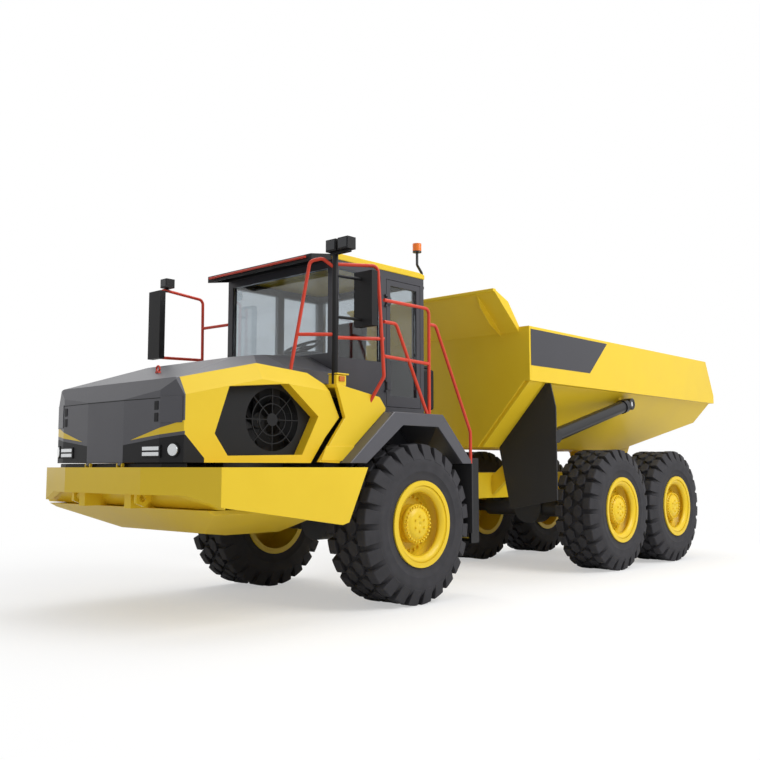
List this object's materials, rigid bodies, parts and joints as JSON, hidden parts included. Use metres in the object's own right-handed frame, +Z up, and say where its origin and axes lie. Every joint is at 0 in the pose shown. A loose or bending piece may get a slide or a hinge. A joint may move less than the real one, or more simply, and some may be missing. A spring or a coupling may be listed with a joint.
{
  "type": "articulated dump truck",
  "caption": "Articulated dump truck: tractor with cab and tilting hood, steering and rolling hitch, bogie trailer and tipping bed.",
  "frame": {"origin": "on the ground under the middle of the truck's length and width", "axes": "+Z up, the truck's front towards -Y, its left side towards +X"},
  "size_m": [2.86, 10.209, 3.885],
  "materials": {
    "yellow_paint": "satin golden yellow machine paint",
    "axle_paint": "dark grey chassis paint",
    "charcoal_plastic": "moulded charcoal plastic",
    "charcoal_steel": "charcoal paint",
    "black_rubber": "black sheet rubber",
    "tyre_rubber": "matt tyre rubber",
    "window_glass": "tinted safety glass",
    "lamp_body": "black lamp housing",
    "tail_lens": "red lens",
    "amber_lens": "amber lens",
    "rail_red": "signal red paint",
    "cylinder_black": "black cylinder paint",
    "rod_chrome": "hard chrome",
    "fan_plastic": "black moulded fan"
  },
  "bodies": {
    "tractor": {"front_frame": "yellow_paint", "front_bumper": "yellow_paint", "belly_pan": "yellow_paint", "front_axle": "axle_paint", "engine_block": "charcoal_steel", "cooler": "charcoal_steel", "cab_base": "charcoal_steel", "cab_frame": "charcoal_steel", "cab_glass": "window_glass", "cab_roof": "yellow_paint", "sun_visor": "charcoal_plastic", "cab_interior": "charcoal_plastic", "cowl": "charcoal_plastic", "fenders": "charcoal_plastic", "front_mud_flaps": "black_rubber", "deck_panels": "yellow_paint", "handrails": "rail_red", "mirrors": "charcoal_plastic", "work_lamps": "lamp_body", "beacon": "amber_lens", "access_ladder": "charcoal_steel"},
    "hood": {"hood_top": "charcoal_plastic", "hood_sides": "yellow_paint", "headlamps": "lamp_body", "fan_guards": "charcoal_plastic"},
    "fan": {"cooling_fan": "fan_plastic"},
    "door": {"cab_door": "charcoal_steel", "cab_door_glass": "window_glass"},
    "hitch": {"hitch": "yellow_paint"},
    "trailer": {"rear_frame": "yellow_paint", "bogie_beams": "yellow_paint", "rear_axles": "axle_paint", "tail_lamps": "tail_lens"},
    "bed": {"bed_floor": "yellow_paint", "bed_side_left": "yellow_paint", "bed_side_right": "yellow_paint", "bed_front_wall": "yellow_paint", "mud_flaps": "black_rubber"},
    "steer_barrel_left": {"steer_barrel_left": "cylinder_black"},
    "steer_rod_left": {"steer_rod_left": "rod_chrome"},
    "hoist_barrel_left": {"hoist_barrel_left": "cylinder_black"},
    "hoist_rod_left": {"hoist_rod_left": "rod_chrome"},
    "wheel_front_left": {"tyre_front_left": "tyre_rubber", "rim_front_left": "yellow_paint"},
    "wheel_bogie_front_left": {"tyre_bogie_front_left": "tyre_rubber", "rim_bogie_front_left": "yellow_paint"},
    "wheel_bogie_rear_left": {"tyre_bogie_rear_left": "tyre_rubber", "rim_bogie_rear_left": "yellow_paint"},
    "steer_barrel_right": {"steer_barrel_right": "cylinder_black"},
    "steer_rod_right": {"steer_rod_right": "rod_chrome"},
    "hoist_barrel_right": {"hoist_barrel_right": "cylinder_black"},
    "hoist_rod_right": {"hoist_rod_right": "rod_chrome"},
    "wheel_front_right": {"tyre_front_right": "tyre_rubber", "rim_front_right": "yellow_paint"},
    "wheel_bogie_front_right": {"tyre_bogie_front_right": "tyre_rubber", "rim_bogie_front_right": "yellow_paint"},
    "wheel_bogie_rear_right": {"tyre_bogie_rear_right": "tyre_rubber", "rim_bogie_rear_right": "yellow_paint"}
  },
  "joints": [
    {"name": "steer", "type": "hinge", "parent": "tractor", "child": "hitch", "pos_m": [0, -1.1305, 1.07], "axis": [0, 0, 1], "range_deg": [-45, 45]},
    {"name": "hitch_roll", "type": "hinge", "parent": "hitch", "child": "trailer", "pos_m": [0, -0.6655, 1.07], "axis": [0, 1, 0], "range_deg": [-15, 15]},
    {"name": "bed_tip", "type": "hinge", "parent": "trailer", "child": "bed", "pos_m": [0, 3.7395, 1.6], "axis": [-1, 0, 0], "range_deg": [0, 70]},
    {"name": "hood_tilt", "type": "hinge", "parent": "tractor", "child": "hood", "pos_m": [0, -5.0745, 1.394], "axis": [1, 0, 0], "range_deg": [0, 70]},
    {"name": "door_swing", "type": "hinge", "parent": "tractor", "child": "door", "pos_m": [0.864, -2.2655, 2.68], "axis": [0, 0, -1], "range_deg": [0, 60]},
    {"name": "fan_spin", "type": "hinge", "parent": "tractor", "child": "fan", "pos_m": [0.8, -4.0105, 1.8], "axis": [1, 0, 0], "continuous": true},
    {"name": "roll_front_left", "type": "hinge", "parent": "tractor", "child": "wheel_front_left", "pos_m": [1.11, -2.3405, 0.805], "axis": [1, 0, 0], "continuous": true},
    {"name": "roll_front_right", "type": "hinge", "parent": "tractor", "child": "wheel_front_right", "pos_m": [-1.11, -2.3405, 0.805], "axis": [1, 0, 0], "continuous": true},
    {"name": "roll_bogie_front_left", "type": "hinge", "parent": "trailer", "child": "wheel_bogie_front_left", "pos_m": [1.11, 1.8345, 0.805], "axis": [1, 0, 0], "continuous": true},
    {"name": "roll_bogie_front_right", "type": "hinge", "parent": "trailer", "child": "wheel_bogie_front_right", "pos_m": [-1.11, 1.8345, 0.805], "axis": [1, 0, 0], "continuous": true},
    {"name": "roll_bogie_rear_left", "type": "hinge", "parent": "trailer", "child": "wheel_bogie_rear_left", "pos_m": [1.11, 3.5045, 0.805], "axis": [1, 0, 0], "continuous": true},
    {"name": "roll_bogie_rear_right", "type": "hinge", "parent": "trailer", "child": "wheel_bogie_rear_right", "pos_m": [-1.11, 3.5045, 0.805], "axis": [1, 0, 0], "continuous": true},
    {"name": "steer_barrel_turn_left", "type": "hinge", "parent": "tractor", "child": "steer_barrel_left", "pos_m": [0.585, -2.0405, 1.145], "axis": [0, 0, 1], "range_deg": [-2, 2]},
    {"name": "steer_rod_slide_left", "type": "slide", "parent": "steer_barrel_left", "child": "steer_rod_left", "axis": [-0.2766, 0.961, 0], "range_m": [-0.225, 0.225]},
    {"name": "steer_barrel_turn_right", "type": "hinge", "parent": "tractor", "child": "steer_barrel_right", "pos_m": [-0.585, -2.0405, 1.145], "axis": [0, 0, 1], "range_deg": [-2, 2]},
    {"name": "steer_rod_slide_right", "type": "slide", "parent": "steer_barrel_right", "child": "steer_rod_right", "axis": [0.2766, 0.961, 0], "range_m": [-0.225, 0.225]},
    {"name": "hoist_barrel_turn_left", "type": "hinge", "parent": "trailer", "child": "hoist_barrel_left", "pos_m": [1.28, 0.2995, 1.745], "axis": [1, 0, 0], "range_deg": [-1, 8]},
    {"name": "hoist_rod_slide_left", "type": "slide", "parent": "hoist_barrel_left", "child": "hoist_rod_left", "axis": [0, 0.9699, 0.2437], "range_m": [-0.005, 1.78]},
    {"name": "hoist_barrel_turn_right", "type": "hinge", "parent": "trailer", "child": "hoist_barrel_right", "pos_m": [-1.28, 0.2995, 1.745], "axis": [1, 0, 0], "range_deg": [-1, 8]},
    {"name": "hoist_rod_slide_right", "type": "slide", "parent": "hoist_barrel_right", "child": "hoist_rod_right", "axis": [0, 0.9699, 0.2437], "range_m": [-0.005, 1.78]}
  ],
  "couplings": [
    {"joint": "steer_barrel_turn_left", "follows": "steer", "ratio": -0.03031},
    {"joint": "steer_rod_slide_left", "follows": "steer", "m_per_rad": 0.27784},
    {"joint": "steer_barrel_turn_right", "follows": "steer", "ratio": -0.03031},
    {"joint": "steer_rod_slide_right", "follows": "steer", "m_per_rad": -0.27784},
    {"joint": "hoist_barrel_turn_left", "follows": "bed_tip", "ratio": 0.10926},
    {"joint": "hoist_rod_slide_left", "follows": "bed_tip", "m_per_rad": 1.4424},
    {"joint": "hoist_barrel_turn_right", "follows": "bed_tip", "ratio": 0.10926},
    {"joint": "hoist_rod_slide_right", "follows": "bed_tip", "m_per_rad": 1.4424}
  ]
}
